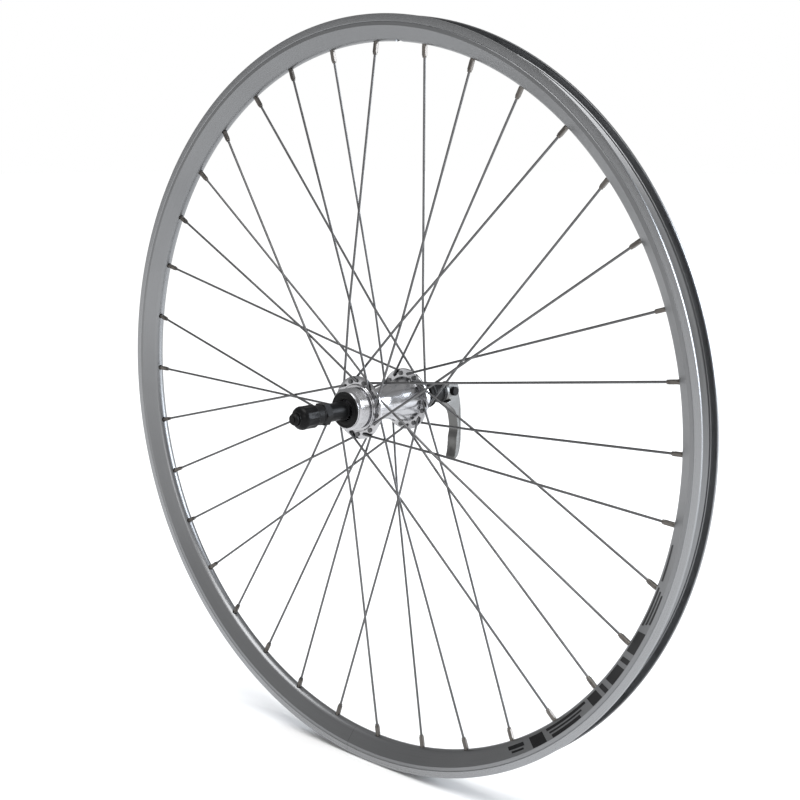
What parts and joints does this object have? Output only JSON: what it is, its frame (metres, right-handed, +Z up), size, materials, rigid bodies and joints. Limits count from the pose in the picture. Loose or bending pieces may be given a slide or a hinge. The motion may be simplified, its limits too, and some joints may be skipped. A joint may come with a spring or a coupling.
{
  "type": "bicycle wheel",
  "caption": "Rear bicycle wheel with a hooked alloy rim, crossed wire spokes, a hub threaded for a screw-on freewheel and a quick-release skewer.",
  "frame": {"origin": "centre of the wheel on the axle, in the rim's middle plane", "axes": "+Y along the axle to the quick-release lever, the freewheel thread on the -Y side, +Z up, +X forward or back"},
  "size_m": [0.6339, 0.201, 0.634],
  "materials": {
    "rim": "satin anodised silver",
    "hub": "polished",
    "spoke": "drawn steel, dark grey",
    "nipple": "dark nickel plate",
    "bearing_steel": "ground",
    "ball": "polished",
    "black_steel": "black oxide",
    "black_plastic": "matte",
    "black_alloy": "black anodised, semi-matte",
    "seal": "matte",
    "lever": "cast, satin",
    "spring": "bright wire"
  },
  "bodies": {
    "axle_set": {"axle": "black_steel", "cone_drive_side": "bearing_steel", "cone_other_side": "bearing_steel", "lock_washer_drive_side": "black_steel", "lock_washer_other_side": "black_steel", "spacer_drive_side": "black_alloy", "spacer_other_side": "black_alloy", "seal_boot": "seal", "locknut_drive_side": "black_steel", "locknut_other_side": "black_steel", "dropout_spacer_drive_side": "black_plastic", "dropout_spacer_other_side": "black_plastic"},
    "wheel": {"rim": "rim", "spokes_drive_leading": "spoke", "spokes_drive_trailing": "spoke", "spokes_other_leading": "spoke", "spokes_other_trailing": "spoke", "nipples_drive_side": "nipple", "nipples_other_side": "nipple", "hub_shell": "hub", "bearing_cup_drive_side": "bearing_steel", "bearing_cup_other_side": "bearing_steel", "dust_cap_drive_side": "black_plastic", "dust_cap_other_side": "black_plastic"},
    "drive_ball_ring": {"balls_drive_side": "ball"},
    "other_ball_ring": {"balls_other_side": "ball"},
    "clamp_base": {"lever_base": "black_alloy", "saddle": "lever", "spring_other_side": "spring"},
    "skewer": {"skewer_rod": "black_steel", "cross_pin": "black_steel"},
    "skewer_nut": {"adjusting_nut": "black_alloy", "nut_lock_insert": "black_plastic", "spring_drive_side": "spring"},
    "clamp_lever": {"lever": "lever"}
  },
  "joints": [
    {"name": "wheel_spin", "type": "hinge", "parent": "axle_set", "child": "wheel", "pos_m": [0, 0, 0], "axis": [0, 1, 0], "continuous": true},
    {"name": "drive_balls_roll", "type": "hinge", "parent": "axle_set", "child": "drive_ball_ring", "pos_m": [0, -0.0335, 0], "axis": [0, 1, 0], "continuous": true},
    {"name": "other_balls_roll", "type": "hinge", "parent": "axle_set", "child": "other_ball_ring", "pos_m": [0, 0.0435, 0], "axis": [0, 1, 0], "continuous": true},
    {"name": "skewer_turn", "type": "hinge", "parent": "axle_set", "child": "clamp_base", "pos_m": [0, 0, 0], "axis": [0, 1, 0], "continuous": true},
    {"name": "clamp_travel", "type": "slide", "parent": "clamp_base", "child": "skewer", "axis": [0, 1, 0], "range_m": [-0.00064, 0]},
    {"name": "lever_swing", "type": "hinge", "parent": "skewer", "child": "clamp_lever", "pos_m": [0, 0.092, 0], "axis": [1, 0, 0], "range_deg": [0, 145]},
    {"name": "nut_turn", "type": "hinge", "parent": "skewer", "child": "skewer_nut", "pos_m": [0, -0.085, 0], "axis": [0, 1, 0], "continuous": true}
  ],
  "couplings": [
    {"joint": "drive_balls_roll", "follows": "wheel_spin", "ratio": 0.6134},
    {"joint": "other_balls_roll", "follows": "wheel_spin", "ratio": 0.6134},
    {"joint": "clamp_travel", "follows": "lever_swing", "m_per_rad": -0.00025}
  ]
}
